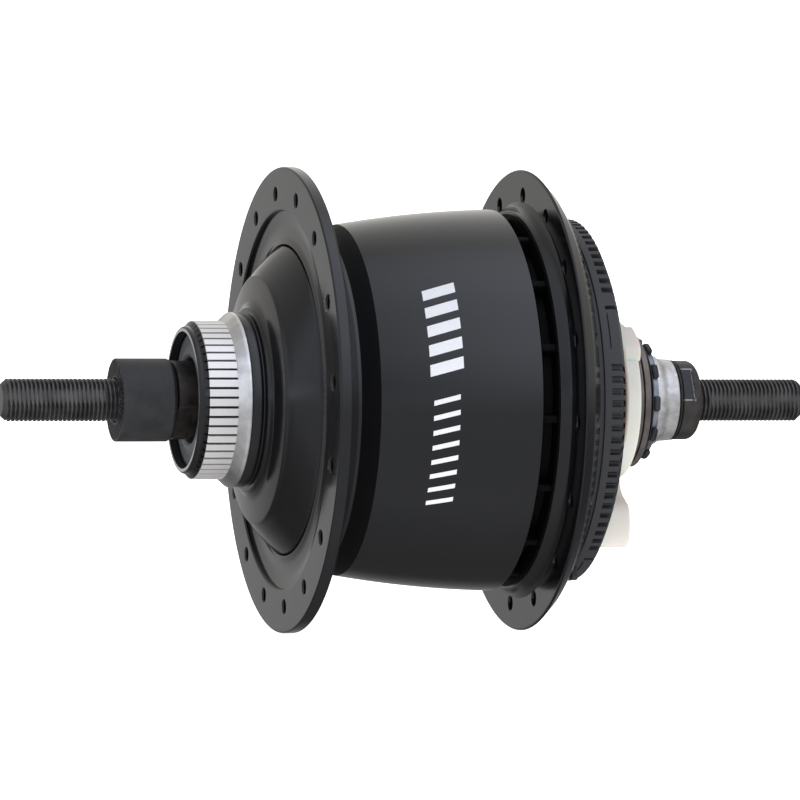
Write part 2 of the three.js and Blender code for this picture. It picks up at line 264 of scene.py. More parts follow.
def flat_edge_highlight(shade, color):
    """Painted highlight: bright edges round the right locknut's wrench flats; also a bluish face inside them."""
    angle = front(NUT_FLAT)
    y, z = shade.millimetres(1), shade.millimetres(2)
    outward = shade.math(
        "ABSOLUTE",
        shade.math(
            "ADD",
            shade.math("MULTIPLY", y, math.cos(angle)),
            shade.math("MULTIPLY", z, math.sin(angle)),
        ),
    )
    along = shade.math(
        "ABSOLUTE",
        shade.math(
            "SUBTRACT",
            shade.math("MULTIPLY", z, math.cos(angle)),
            shade.math("MULTIPLY", y, math.sin(angle)),
        ),
    )
    half_chord = 3.9
    side = shade.ramp(shade.math("ABSOLUTE", shade.math("SUBTRACT", along, half_chord)), 0.22, 0.06)
    x = shade.millimetres(0)
    end = shade.ramp(shade.math("ABSOLUTE", shade.math("SUBTRACT", x, 65.35)), 0.2, 0.06)
    reach = shade.math(
        "MULTIPLY",
        shade.ramp(along, half_chord + 0.3, half_chord + 0.15),
        shade.ramp(x, 65.7, 65.5),
    )
    facing = shade.ramp(outward, 7.0, 7.4)
    # Painted highlight: a bright line along the borders of the flats, where the edges catch the light
    edge = shade.math(
        "MULTIPLY", shade.math("MULTIPLY", shade.math("MAXIMUM", side, end), facing), reach
    )
    patchy = shade.ramp(shade.noise(1500, 4), 0.34, 0.5)
    face = shade.math("MULTIPLY", shade.ramp(outward, 8.2, 8.12), shade.ramp(outward, 8.0, 8.06))
    color = shade.mix(face, color, (0.042, 0.044, 0.047))
    return shade.mix(shade.math("MULTIPLY", edge, patchy), color, (0.4, 0.39, 0.37))


def zinc_plate():
    """Scratched zinc: bright streaks over a mottled grey."""
    shade = Shade("zinc_plate", (0.6, 0.61, 0.63), 0.4, 0.85)
    cloud = shade.noise(420, 6, roughness=0.7)
    streaks = shade.noise(1300, 5, (0.35, 1, 1), 0.7)
    color = shade.mix(shade.ramp(cloud, 0.36, 0.62), (0.54, 0.525, 0.505), (0.76, 0.745, 0.725))
    shade.color(shade.mix(shade.ramp(streaks, 0.6, 0.7), color, (0.92, 0.905, 0.88)))
    shade.roughness(shade.ramp(cloud, 0.3, 0.7, 0.3, 0.55))
    shade.bump(shade.math("ADD", cloud, streaks), 0.03, 0.8)
    return shade.material


def moulded_black():
    shade = Shade("moulded_black", (0.02, 0.02, 0.021), 0.5, 0.0)
    grain = shade.noise(3800, 3)
    cloud = shade.noise(90, 3)
    shade.color(shade.mix(cloud, (0.024, 0.024, 0.025), (0.034, 0.034, 0.035)))
    shade.roughness(shade.ramp(shade.math("ADD", cloud, grain), 0.7, 1.3, 0.42, 0.58))
    shade.bump(grain, 0.012, 0.8)
    return shade.material


def ivory():
    shade = Shade(
        "ivory_plastic", (0.83, 0.8, 0.72), 0.42, 0.0, Subsurface_Weight=0.35, Subsurface_Scale=0.004
    )
    cloud = shade.noise(120, 3)
    grain = shade.noise(3000, 2)
    clean = shade.mix(cloud, (0.7, 0.67, 0.585), (0.78, 0.755, 0.69))
    # Painted shadow: a dark brown band with a tan rim on the clip next to the dust cap, strongest near axle
    # height
    near_cap = shade.ramp(shade.millimetres(0), 46.9, 46.0)
    near_front = shade.ramp(shade.math("ABSOLUTE", shade.millimetres(2)), 13.0, 8.5)
    cap_shadow = shade.math("MULTIPLY", near_cap, near_front)
    shadow_rim = shade.mix(shade.ramp(cap_shadow, 0.05, 0.5), clean, (0.48, 0.4, 0.28))
    shade.color(shade.mix(shade.ramp(cap_shadow, 0.55, 0.9), shadow_rim, (0.16, 0.115, 0.1)))
    shade.roughness(shade.ramp(grain, 0.3, 0.7, 0.36, 0.5))
    shade.bump(grain, 0.01, 0.6)
    return shade.material


def rubber():
    shade = Shade("seal_rubber", (0.1, 0.1, 0.105), 0.55, 0.0)
    grain = shade.noise(2400, 4)
    shade.color(shade.mix(grain, (0.062, 0.064, 0.068), (0.11, 0.112, 0.118)))
    shade.roughness(shade.ramp(grain, 0.3, 0.7, 0.46, 0.64))
    shade.bump(grain, 0.012, 0.8)
    return shade.material


def print_white():
    shade = Shade("pale_print", (0.82, 0.82, 0.82), 0.4, 0.0)
    grain = shade.noise(1800, 3)
    shade.color(shade.mix(grain, (0.74, 0.74, 0.75), (0.86, 0.86, 0.86)))
    shade.roughness(shade.ramp(grain, 0.3, 0.7, 0.34, 0.48))
    shade.bump(grain, 0.004, 0.5)
    return shade.material


# Mesh helpers


def rounded(points, radius=0.3, steps=3):
    """Rounds each corner of a closed outline. A point may give its own radius as a third number."""
    result = []
    for i, point in enumerate(points):
        here = Vector(point[:2])
        before = Vector(points[i - 1][:2])
        after = Vector(points[(i + 1) % len(points)][:2])
        reach = point[2] if len(point) > 2 else radius
        if reach == 0:
            result.append(tuple(here))
            continue
        reach = min(reach, 0.45 * (before - here).length, 0.45 * (after - here).length)
        start = here + (before - here).normalized() * reach
        end = here + (after - here).normalized() * reach
        for k in range(steps + 1):
            t = k / steps
            result.append(tuple(start * (1 - t) ** 2 + here * 2 * t * (1 - t) + end * t**2))
    return result


def even_angles(count):
    return [TURN * i / count for i in range(count)]


def pattern_angles(count, fractions, phase=0.0):
    """Angles at the same fractions of every pitch, so that teeth get crisp flanks."""
    return [phase + TURN * (i + f) / count for i in range(count) for f in fractions]


def within(angle, count, phase=0.0):
    """How far an angle is through its pitch, from 0 to 1."""
    return ((angle - phase) * count / TURN) % 1.0


def finish_mesh(name, bm, material, body, sharp=32):
    bmesh.ops.remove_doubles(bm, verts=bm.verts, dist=1e-7)
    bmesh.ops.dissolve_degenerate(bm, edges=bm.edges, dist=1e-7)
    bmesh.ops.recalc_face_normals(bm, faces=bm.faces)
    mesh = bpy.data.meshes.new(name)
    bm.to_mesh(mesh)
    bm.free()
    mesh.polygons.foreach_set("use_smooth", [True] * len(mesh.polygons))
    mesh.set_sharp_from_angle(angle=math.radians(sharp))
    mesh.materials.append(material)
    piece = bpy.data.objects.new(name, mesh)
    bpy.context.scene.collection.objects.link(piece)
    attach(piece, body)
    return piece


def revolve(name, outline, material, body, angles=256, shape=None, sharp=32, place=None):
    """A closed outline of (x, radius) turned about X. shape(x, radius, angle) may move any point."""
    angles = even_angles(angles) if isinstance(angles, int) else angles
    bm = bmesh.new()
    rings = []
    for angle in angles:
        ring = []
        for x, radius in outline:
            if shape:
                x, radius = shape(x, radius, angle)
            ring.append(
                bm.verts.new((x * MM, radius * math.cos(angle) * MM, radius * math.sin(angle) * MM))
            )
        rings.append(ring)
    for i, ring in enumerate(rings):
        following = rings[(i + 1) % len(rings)]
        for j in range(len(outline)):
            k = (j + 1) % len(outline)
            bm.faces.new((ring[j], ring[k], following[k], following[j]))
    if place:
        bmesh.ops.translate(bm, verts=bm.verts, vec=Vector(place) * MM)
    return finish_mesh(name, bm, material, body, sharp)


def loft(name, rings, material, body, sharp=32):
    """Closed skin over rings, each (x, list of radii), with its ends filled in."""
    bm = bmesh.new()
    made = []
    for x, radii in rings:
        count = len(radii)
        made.append(
            [
                bm.verts.new(
                    (x * MM, r * math.cos(TURN * i / count) * MM, r * math.sin(TURN * i / count) * MM)
                )
                for i, r in enumerate(radii)
            ]
        )
    for first, second in zip(made, made[1:]):
        for i in range(len(first)):
            k = (i + 1) % len(first)
            bm.faces.new((first[i], first[k], second[k], second[i]))
    bm.faces.new(made[0])
    bm.faces.new(made[-1])
    return finish_mesh(name, bm, material, body, sharp)


def disc_with_holes(name, start, end, inner, outer, holes, material, body, bevel, hole_radius):
    """A flat ring with round holes, every edge bevelled. holes are (radius, angle) places."""
    curve = bpy.data.curves.new(name, "CURVE")
    curve.dimensions = "2D"
    curve.fill_mode = "BOTH"

    def circle(radius, centre, count):
        spline = curve.splines.new("POLY")
        spline.points.add(count - 1)
        for i, point in enumerate(spline.points):
            angle = TURN * i / count
            spot = (centre[0] + radius * math.cos(angle), centre[1] + radius * math.sin(angle))
            point.co = (spot[0] * MM, spot[1] * MM, 0, 1)
        spline.use_cyclic_u = True

    circle(outer - bevel, (0, 0), 256)
    circle(inner + bevel, (0, 0), 192)
    for radius, angle in holes:
        circle(hole_radius + bevel, (radius * math.cos(angle), radius * math.sin(angle)), 32)
    curve.extrude = ((end - start) / 2 - bevel) * MM
    curve.bevel_depth = bevel * MM
    curve.bevel_resolution = 2
    holder = bpy.data.objects.new(name + "_outline", curve)
    mesh = bpy.data.meshes.new_from_object(holder)
    bpy.data.objects.remove(holder)
    bm = bmesh.new()
    bm.from_mesh(mesh)
    bpy.data.meshes.remove(mesh)
    middle = (start + end) / 2 * MM
    to_axle = Matrix(((0, 0, 1, middle), (1, 0, 0, 0), (0, 1, 0, 0), (0, 0, 0, 1)))
    bm.transform(to_axle)
    return finish_mesh(name, bm, material, body, 40)


def block(bm, outline, start, end):
    """Adds a prism to a mesh: an outline of (y, z) points from one x to another."""
    near = [bm.verts.new((start * MM, y * MM, z * MM)) for y, z in outline]
    far = [bm.verts.new((end * MM, y * MM, z * MM)) for y, z in outline]
    bm.faces.new(near)
    bm.faces.new(far)
    for i in range(len(outline)):
        k = (i + 1) % len(outline)
        bm.faces.new((near[i], near[k], far[k], far[i]))


def bevelled(piece, width, segments=2, angle=35):
    made = piece.modifiers.new("soft_edges", "BEVEL")
    made.width = width * MM
    made.segments = segments
    made.limit_method = "ANGLE"
    made.angle_limit = math.radians(angle)
    made.harden_normals = False
    return piece


def flatten_shading(piece):
    piece.modifiers.new("even_shading", "WEIGHTED_NORMAL").keep_sharp = True
    return piece


def arc(inner, outer, centre, width, steps=8):
    """Outline of a slice of a ring, in (y, z) points."""
    turns = [centre + math.radians(width) * (i / steps - 0.5) for i in range(steps + 1)]
    outside = [(outer * math.cos(a), outer * math.sin(a)) for a in turns]
    inside = [(inner * math.cos(a), inner * math.sin(a)) for a in reversed(turns)]
    return outside + inside


# Axle and its nuts


def thread_radii(x, flat_angle, flat_from, end, count=96):
    """Radii round a flatted screw thread at station x, with a chamfered tip at x = end."""
    depth = 0.62
    half_flat = 4.2
    tip = 3.5 + abs(end - x) * 0.9
    radii = []
    for i in range(count):
        angle = TURN * i / count
        turn = (x / THREAD_PITCH - angle / TURN) % 1.0
        ridge = min(1.0, 1.35 * (0.5 - 0.5 * math.cos(TURN * turn)))
        radius = THREAD_RADIUS - depth * (1 - ridge)
        across = abs(math.cos(angle - flat_angle))
        if abs(x) > flat_from and across > 0.5:
            radius = min(radius, half_flat / across)
        radii.append(min(radius, tip))
    return radii


def axle_end(name, side, flat_angle, material):
    """One threaded end, from inside its locknut out to the tip."""
    end = side * AXLE_END
    inside = side * (abs(DROPOUT_FACE) - 3)
    per_pitch = 12
    count = round(abs(end - inside) / THREAD_PITCH * per_pitch)
    flat_from = abs(DROPOUT_FACE) + 2.9
    stations = [inside + (end - inside) * i / count for i in range(count + 1)]
    rings = [(x, thread_radii(x, flat_angle, flat_from, end)) for x in stations]
    return loft(name, rings, material, "axle_group", 40)


def left_locknut(material):
    face = DROPOUT_FACE
    outline = rounded(
        [
            (face, 5.0, 0.1),
            (face, 5.6, 0),
            (face, 5.9, 0),
            (face, 8.55, 0),
            (face, 8.8, 0),
            (face, 9.28, 0.18),
            (-55.9, 9.28, 0.15),
            (-55.1, 8.56, 0.1),
            (-55.1, 5.0, 0.1),
        ],
        0.2,
    )
    teeth = 44

    def serrate(x, radius, angle):
        if x < face + 0.01 and 5.7 < radius < 8.7 and within(angle, teeth) > 0.45:
            x += 0.38
        return x, radius

    angles = pattern_angles(teeth, (0.0, 0.22, 0.44, 0.52, 0.72, 0.94))
    return revolve("left_locknut_detail", outline, material, "axle_group", angles, serrate, 30)


def flatted_turning(name, outline, flat_span, half_across, normal, material, count=192, sharp=32):
    """A turned piece whose stations inside flat_span are cut by two opposite flats."""

    def cut(x, radius, angle):
        across = abs(math.cos(angle - normal))
        if flat_span[0] < x < flat_span[1] and radius > half_across and across > 0.3:
            radius = min(radius, half_across / across)
        return x, radius

    return revolve(name, outline, material, "axle_group", count, cut, sharp)


def left_cone(material):
    flat_end = -51.4
    outline = [
        (-54.85, 5.0),
        (-54.85, 8.55),
        (-54.65, 8.75),
        (flat_end - 0.12, 8.75),
        (flat_end, 8.75),
        (flat_end + 0.25, 8.75),
        (-47.6, 8.75),
        (-46.2, 9.1),
        (-44.4, 9.95),
        (-44.4, 5.0),
    ]
    return flatted_turning(
        "left_cone_detail", outline, (-56, flat_end - 0.06), 7.5, front(-41), material
    )


def right_locknut(material):
    face = -DROPOUT_FACE
    flat_start = 62.85
    flat_end = 65.4
    shoulder = 2.0
    turns = [math.pi / 2 * i / 8 for i in range(9)]
    corner = [
        (face - shoulder + shoulder * math.sin(turn), 9.0 - shoulder + shoulder * math.cos(turn), 0)
        for turn in turns
    ]
    outline = rounded(
        [
            (62.6, 5.0, 0.1),
            (62.6, 8.7, 0.15),
            (flat_start - 0.05, 9.0, 0),
            (flat_start + 0.05, 9.0, 0),
            (flat_end - 0.05, 9.0, 0),
            *corner,
            (face, 5.0, 0.1),
        ],
        0.2,
        5,
    )
    return flatted_turning(
        "right_locknut_detail", outline, (flat_start, flat_end), 8.1, front(NUT_FLAT), material
    )


def right_cone(material):
    outline = rounded(
        [
            (53.3, 7.2, 0.1),
            (53.3, 9.9, 0.1),
            (55.95, 9.9, 0.1),
            (56.05, 10.45, 0.3),
            (57.7, 10.35, 0.5),
            (58.8, 9.45, 0.5),
            (61.75, 9.3, 0.35),
            (61.75, 5.0, 0.1),
        ],
        0.2,
        4,
    )

    def worn(x, radius, angle):
        """The plated nut is a little uneven, with one small dent in its front."""
        uneven = 0.06 * math.sin(3 * angle + 0.6) + 0.04 * math.sin(7 * angle + x)
        away = math.hypot((x - 58.9) / 0.9, (angle - front(17)) / 0.13)
        dent = 0.55 * max(0.0, 1 - away)
        return x, radius - (0.06 + uneven * 0.5 + dent if radius > 8 else 0)

    return revolve("right_cone_detail", outline, material, "axle_group", 192, worn)


def lock_washer(material):
    outline = rounded([(61.95, 5.0), (61.95, 9.1), (62.5, 9.1), (62.5, 5.0)], 0.12)
    return revolve("right_lock_washer_detail", outline, material, "axle_group", 160)


# Brake side


SPLINE_WALLS = (0.0, 0.02, 0.38, 0.755, 0.775, 0.8, 0.95, 0.98)


def spline_depth(angle):
    """0 on a spline crest and 1 in a groove."""
    turn = within(angle, SPLINE_TEETH)
    if turn < 0.765:
        return 0.0
    return 1.0 if 0.79 < turn < 0.97 else 0.5


def spline_angles():
    phase = front(1.45) + 0.09 * TURN / SPLINE_TEETH
    return [phase, pattern_angles(SPLINE_TEETH, SPLINE_WALLS, phase)]


def rotor_spline(material):
    phase, angles = spline_angles()
    outline = rounded(
        [
            (-50.1, 15.95, 0.1),
            (-50.1, SPLINE_CREST, 0.25),
            (-43.6, SPLINE_CREST, 0),
            (-43.6, 15.95, 0.1),
        ],
        0.2,
    )

    def groove(x, radius, angle):
        if radius > 17:
            radius -= 1.0 * spline_depth(angle - phase)
        return x, radius

    return revolve("rotor_spline", outline, material, "shell", angles, groove, 30)


def end_cap_neck(material):
    """The black lip and the serrated chamfer that leads on to the spline."""
    phase, angles = spline_angles()
    outline = rounded(
        [
            (-52.1, 15.2, 0.12),
            (-52.1, 16.15, 0.12),
            (-51.75, 16.45, 0.15),
            (-51.0, 16.5, 0.1),
            (-50.16, 17.55, 0),
            (-50.16, 15.6, 0.1),
            (-49.0, 15.2, 0.1),
        ],
        0.2,
    )

    def groove(x, radius, angle):
        if radius > 16.6 and x > -50.95:
            radius -= 0.9 * spline_depth(angle - phase)
        return x, max(radius, 15.5 if x > -50.9 else radius)

    return revolve("end_cap_lip", outline, material, "shell", angles, groove, 30)


def bright_lip(material):
    """The worn bright edge of the lip."""
    outline = rounded([(-52.13, 15.35), (-52.13, 15.95), (-52.0, 16.05), (-52.0, 15.3)], 0.04, 2)
    return revolve("lip_worn_edge", outline, material, "shell", 192)


def rotor_collar(material):
    outline = rounded(
        [
            (-43.6, 16.2, 0.1),
            (-43.6, 17.75, 0.1),
            (-41.55, 19.6, 0.35),
            (-40.8, 19.63, 0.2),
            (-40.8, 16.2, 0.1),
        ],
        0.2,
        4,
    )
    return revolve("rotor_collar", outline, material, "shell", 256)


def bell(material):
    outline = rounded(
        [
            (-50.0, 15.2, 0.1),
            (-50.0, 15.9, 0.1),
            (-40.75, 15.9, 0.1),
            (-40.75, 19.4, 0.15),
            (-38.6, 19.5, 0.2),
            (-38.3, 19.1, 0.15),
            (-37.9, 19.1, 0.15),
            (-37.7, 20.5, 0.25),
            (-37.1, 21.0, 0.25),
            (-36.5, 22.0, 0.5),
            (-36.3, 23.0, 0.6),
            (-35.55, 27.7, 0.3),
            (-35.0, 28.2, 0.3),
            (-33.9, 29.6, 1.2),
            (-31.5, 32.35, 1.6),
            (-29.4, 34.45, 0.25),
            (-28.7, 34.6, 0.1),
            (-22.0, 34.6, 0.2),
            (-22.0, 31.5, 0.3),
            (-27.5, 31.2, 1.0),
            (-33.5, 24.0, 1.0),
            (-37.5, 14.0, 0.5),
            (-43.4, 13.2, 0.4),
            (-45.5, 14.7, 0.6),
            (-48.8, 14.7, 0.1),
            (-48.8, 15.2, 0.1),
        ],
        0.3,
        4,
    )
    return revolve("end_cap_bell", outline, material, "shell", 256)


def dust_seal(material):
    outline = rounded(
        [
            (-48.6, 9.4, 0.1),
            (-50.4, 9.6, 0.3),
            (-50.9, 10.4, 0.3),
            (-49.9, 13.2, 0.4),
            (-50.2, 14.6, 0.2),
            (-50.0, 15.05, 0.1),
            (-48.9, 15.05, 0.1),
        ],
        0.2,
        3,
    )
    return revolve("left_dust_seal_detail", outline, material, "shell", 192)


# Shell


CREASE = -16.7


def barrel_radius(x):
    return 39.45 + 0.176 * (x - CREASE) - 0.0021 * (x - CREASE) ** 2


GROOVE = (19.3, 22.8)
NECK_END = CREASE - 0.35


def shell_neck(material):
    """The dish round the left end cap, and the valley between the left flange and the barrel."""
    outline = rounded(
        [
            (-29.0, 34.85, 0.15),
            (-28.55, 36.3, 0.8),
            (-28.35, 39.0, 1.0),
            (-28.85, 42.35, 0.1),
            (-28.2, 42.9, 0),
            (-27.2, 43.9, 0),
            (-26.85, 44.2, 0.3),
            (-25.8, 40.4, 1.0),
            (-23.4, 38.0, 1.2),
            (-21.6, 37.55, 0.4),
            (-20.9, 37.6, 0),
            (-20.9, 36.5, 0),
            (-21.7, 36.4, 0.2),
            (-21.7, 34.85, 0.1),
        ],
        0.3,
        5,
    )
    return revolve("shell_neck", outline, material, "shell", 288, sharp=24)


def neck_slope(material):
    """The roughly turned slope that climbs from the valley to the barrel."""
    top = barrel_radius(NECK_END) - 0.05
    outline = [
        (-20.95, 37.62),
        (-20.6, 37.75),
        (-19.0, 38.45),
        (NECK_END, top),
        (NECK_END, 36.5),
        (-20.95, 36.5),
    ]
    return revolve("neck_slope", outline, material, "shell", 288, sharp=24)


def shell_barrel(material):
    steps = 24
    first = NECK_END + 0.02
    stations = [first + (18.7 - first) * i / steps for i in range(steps + 1)]
    swell = [(x, barrel_radius(x), 0) for x in stations]
    start, end = GROOVE
    outline = rounded(
        [
            *swell,
            (start, 42.3, 0.35),
            (start, 38.2, 0),
            (start + 0.02, 36.9, 0),
            (end - 0.02, 36.9, 0),
            (end, 38.2, 0),
            (end, 42.7, 0.25),
            (24.0, 43.1, 0.5),
            (25.0, 43.7, 0.5),
            (25.66, 44.75, 0),
            (25.66, 40.05, 0),
            (24.0, 40.0, 0.2),
            (24.0, 36.4, 0.2),
            (first, 36.4, 0),
        ],
        0.3,
        4,
    )
    return revolve("shell_barrel", outline, material, "shell", 288, sharp=24)


def hole_places(first_angle):
    return [(SPOKE_CIRCLE, front(first_angle + 360 * i / SPOKE_COUNT)) for i in range(SPOKE_COUNT)]


def left_flange(material):
    holes = hole_places(LEFT_SPOKE_ANGLE)
    piece = disc_with_holes(
        "left_flange", -29.7, -26.9, 42.35, FLANGE_RADIUS, holes, material, "shell", 0.42, 1.5
    )
    return flatten_shading(piece)


def right_flange(material):
    """A flange with a flat inner face and a coned outer face, drilled for the spokes."""
    face = 25.7
    outline = rounded(
        [
            (face, 40.1, 0),
            (face, 51.8, 0.35),
            (26.1, FLANGE_RADIUS, 0.25),
            (28.6, 49.5, 0.25),
            (31.0, 45.8, 0.3),
            (31.0, 40.1, 0.2),
        ],
        0.2,
        3,
    )
    piece = revolve("right_flange", outline, material, "shell", 256, sharp=24)
    bm = bmesh.new()
    sides = 28
    for radius, angle in hole_places(RIGHT_SPOKE_ANGLE):
        centre = Vector((0, radius * math.cos(angle), radius * math.sin(angle)))
        rings = []
        for x, size in ((face - 1, 2.9), (face + 0.4, 1.5), (33.0, 1.5)):
            turns = [TURN * i / sides for i in range(sides)]
            points = [centre + Vector((x, size * math.cos(t), size * math.sin(t))) for t in turns]
            rings.append([bm.verts.new(point * MM) for point in points])
        for near, far in zip(rings, rings[1:]):
            for i in range(sides):
                k = (i + 1) % sides
                bm.faces.new((near[i], near[k], far[k], far[i]))
        bm.faces.new(rings[0])
        bm.faces.new(rings[-1])
    return flatten_shading(drilled(piece, bm))


def drilled(piece, bm):
    """Cuts the closed shapes in a bmesh out of a piece, for good."""
    bmesh.ops.recalc_face_normals(bm, faces=bm.faces)
    mesh = bpy.data.meshes.new(piece.name + "_drills")
    bm.to_mesh(mesh)
    bm.free()
    drills = bpy.data.objects.new(mesh.name, mesh)
    bpy.context.scene.collection.objects.link(drills)
    cut = piece.modifiers.new("drilled", "BOOLEAN")
    cut.operation = "DIFFERENCE"
    cut.solver = "EXACT"
    cut.object = drills
    depsgraph = bpy.context.evaluated_depsgraph_get()
    made = bpy.data.meshes.new_from_object(piece.evaluated_get(depsgraph))
    piece.modifiers.clear()
    piece.data = made
    made.set_sharp_from_angle(angle=math.radians(24))
    bpy.data.objects.remove(drills)
    return piece


def groove_shade_lining(material):
    """The rough-turned inside of the relief groove: a dark lining as painted shade, since the groove takes little
    light.
    """
    start, end = GROOVE
    outline = rounded(
        [
            (start + 0.01, 41.4, 0),
            (start + 0.12, 41.3, 0),
            (start + 0.12, 37.3, 0.2),
            (end - 0.12, 37.3, 0.2),
            (end - 0.12, 42.0, 0),
            (end - 0.01, 42.1, 0),
            (end - 0.01, 37.0, 0),
            (start + 0.01, 37.0, 0),
        ],
        0.2,
        3,
    )
    return revolve("groove_shade_lining", outline, material, "shell", 256)


def groove_webs(material):
    """Small webs that cross the relief groove, one at each right spoke hole."""
    start, end = GROOVE
    bm = bmesh.new()
    for i in range(SPOKE_COUNT):
        angle = front(RIGHT_SPOKE_ANGLE + 360 * i / SPOKE_COUNT)
        block(bm, arc(36.8, 41.0, angle, 2.5, 3), start - 0.3, end + 0.3)
    piece = finish_mesh("groove_webs", bm, material, "shell", 30)
    return bevelled(piece, 0.45, 3)


def barrel_stripes(material):
    """A plain graphic in place of a printed name: a group of slanted bars above slimmer ones."""
    bm = bmesh.new()
    lift = 0.05
    rows = 10
    columns = 6
    slant = 0.35
    wide = [(7.0 + 6.2 * i, 3.6, -6.3, 7.4) for i in range(5)]
    slim = [(-34.0 + 4.6 * i, 1.5, -5.6, 5.8) for i in range(8)]
    for low, height, left, width in wide + slim:
        for row in range(rows):
            for column in range(columns):
                corners = []
                for across, along in (
                    (column, row),
                    (column + 1, row),
                    (column + 1, row + 1),
                    (column, row + 1),
                ):
                    x = left + width * across / columns
                    degrees = low + height * along / rows + slant * (x - left)
                    radius = barrel_radius(x) + lift
                    angle = front(degrees)
                    spot = (x * MM, radius * math.cos(angle) * MM, radius * math.sin(angle) * MM)
                    corners.append(bm.verts.new(spot))
                bm.faces.new(corners)
    bmesh.ops.remove_doubles(bm, verts=bm.verts, dist=1e-7)
    made = bmesh.ops.extrude_face_region(bm, geom=bm.faces[:])
    for vert in [g for g in made["geom"] if isinstance(g, bmesh.types.BMVert)]:
        inward = Vector((0, vert.co.y, vert.co.z)).normalized() * 0.12 * MM
        vert.co -= inward
    return finish_mesh("barrel_stripes", bm, material, "shell", 30)


# Drive side


# How deep the cap is cut through one pitch: (share of the pitch, share of the full depth)
CAP_SLOT = (
    (0, 0),
    (0.215, 0),
    (0.25, 1),
    (0.49, 1),
    (0.52, 0.7),
    (0.6, 0.7),
    (0.63, 1),
    (0.75, 1),
    (0.785, 0),
)
CAP_SLIT = ((0, 0), (0.03, 0), (0.06, 1), (0.37, 1), (0.4, 0), (0.7, 0))
CAP_PAD = ((0, 0), (0.33, 0), (0.66, 0))


def cap_cuts():
    """Angle round the cap to (depth of slot, whether it is on the lined part of a pad)."""
    cuts = {}
    pitch = TURN / CAP_PITCHES
    start = front(CAP_FIRST_SLOT) - pitch / 2
    for i in range(CAP_PITCHES):
        past = i % (CAP_PITCHES // 4) - CAP_SLOTS
        stops = CAP_SLOT if past < 0 else CAP_SLIT if past == 1 else CAP_PAD
        for share, depth in stops:
            cuts[start + pitch * (i + share)] = (depth, 2 <= past <= 4)
    return cuts


def drive_dust_cap(material):
    """A straight band with narrow slots and four plain pads, a sloped rim and a flat face."""
    band_radius = 41.0
    slot_from = 35.3
    slot_to = 39.6
    slot_depth = 1.15
    lining_width = 0.25
    lining_depth = 0.35
    outline = rounded(
        [
            (31.8, 39.9, 0),
            (31.8, 40.5, 0.1),
            (33.6, 40.5, 0.1),
            (33.6, band_radius, 0.15),
            (slot_from - 0.05, band_radius, 0),
            (slot_from + 0.05, band_radius, 0),
            (slot_from + 0.2, band_radius, 0),
            (slot_from + 0.3, band_radius, 0),
            (37.7, band_radius, 0.15),
            (39.5, 37.4, 0.2),
            (39.8, 36.5, 0.2),
            (39.8, 18.5, 0.3),
            (38.2, 18.5, 0.2),
            (38.2, 36.3, 0.3),
            (36.7, 39.3, 0.2),
            (33.6, 39.3, 0.1),
            (33.2, 39.9, 0.1),
        ],
        0.2,
    )
    bm = bmesh.new()
    block(bm, arc(40.0, 45.3, front(CAP_LUG), 2.2, 3), 31.9, 33.5)
    lug = bevelled(finish_mesh("cap_lug", bm, material, "shell", 30), 0.3, 3)
    cuts = cap_cuts()

    def slots(x, radius, angle):
        depth, lined = cuts[angle]
        # Above the inner wall, which slopes in with the rim
        outside = radius > 40.6 - 2.0 * max(0, x - 37.0)
        if outside and slot_from < x < slot_to:
            radius -= slot_depth * depth
            if lined and x < slot_from + lining_width:
                radius -= lining_depth
        return x, radius

    return [revolve("drive_side_dust_cap_detail", outline, material, "shell", list(cuts), slots, 28), lug]


def driver_disc(name, start, end, material):
    outline = rounded([(start, 11.3), (start, 15.2), (end, 15.2), (end, 11.3)], 0.2)
    return revolve(name, outline, material, "driver_group", 160)


def driver_sleeve(material):
    """The driver: flange with its spigot inside the hub, the plain sleeve outside, and its ball cup."""
    outline = rounded(
        [
            (22.0, 28.0),
            (22.0, 30.6),
            (26.4, 30.6, 0.1),
            (26.4, 32.3),
            (30.4, 32.3),
            (30.4, 29.0, 0.8),
            (31.5, 17.4, 0.8),
            (35.0, 16.2, 0.5),
            (49.9, 16.2),
            (49.9, 14.4),
            (45.3, 14.4, 0.6),
            (44.4, 12.6, 0.6),
            (44.4, 9.6, 0.2),
            (28.6, 9.6, 0.3),
            (28.6, 26.0, 0.8),
            (26.0, 28.0, 0.4),
        ],
        0.3,
        4,
    )
    return revolve("driver_detail", outline, material, "driver_group", 192)


def retaining_clip(material):
    """The ivory ring, its raised grip at the front and its pull tab below."""
    start = 42.0
    end = 49.7
    band = rounded([(start, 16.5), (start, 17.8), (end, 17.8), (end, 16.5)], 0.45, 4)
    ring = revolve("clip_band", band, material, "driver_group", 192)
    bm = bmesh.new()
    grip_top = 16.5
    crown = [
        (30 + 34 * i / 14, 17.75 + 1.95 * math.sin(min(1, i / 4) * math.pi / 2)) for i in range(15)
    ]
    grip = [
        (radius * math.cos(front(turn)), radius * math.sin(front(turn))) for turn, radius in crown
    ]
    grip = [(y, min(z, grip_top)) for y, z in grip if z < grip_top + 2.5]
    block(bm, grip + [(-8.0, grip_top), (-9.5, 13.8), (-14.4, 8.6)], start + 2, end + 0.5)
    slope_from = 13.0
    for vert in bm.verts:
        if vert.co.x > end * MM:
            vert.co.x -= 0.11 * max(0, vert.co.z - slope_from * MM)
    half = [
        (2.0, -17.2),
        (2.1, -18.6),
        (2.7, -20.0),
        (4.2, -21.5),
        (6.6, -22.7),
        (8.6, -23.8),
        (9.5, -25.5),
        (9.7, -28.2),
        (9.5, -31.0),
        (8.4, -32.8),
        (6.4, -33.35),
    ]
    block(bm, half + [(-y, z) for y, z in reversed(half)], start, end)
    tab = finish_mesh("clip_tab", bm, material, "driver_group", 70)
    bevelled(tab, 1.1, 5, 40)
    return [ring, tab]


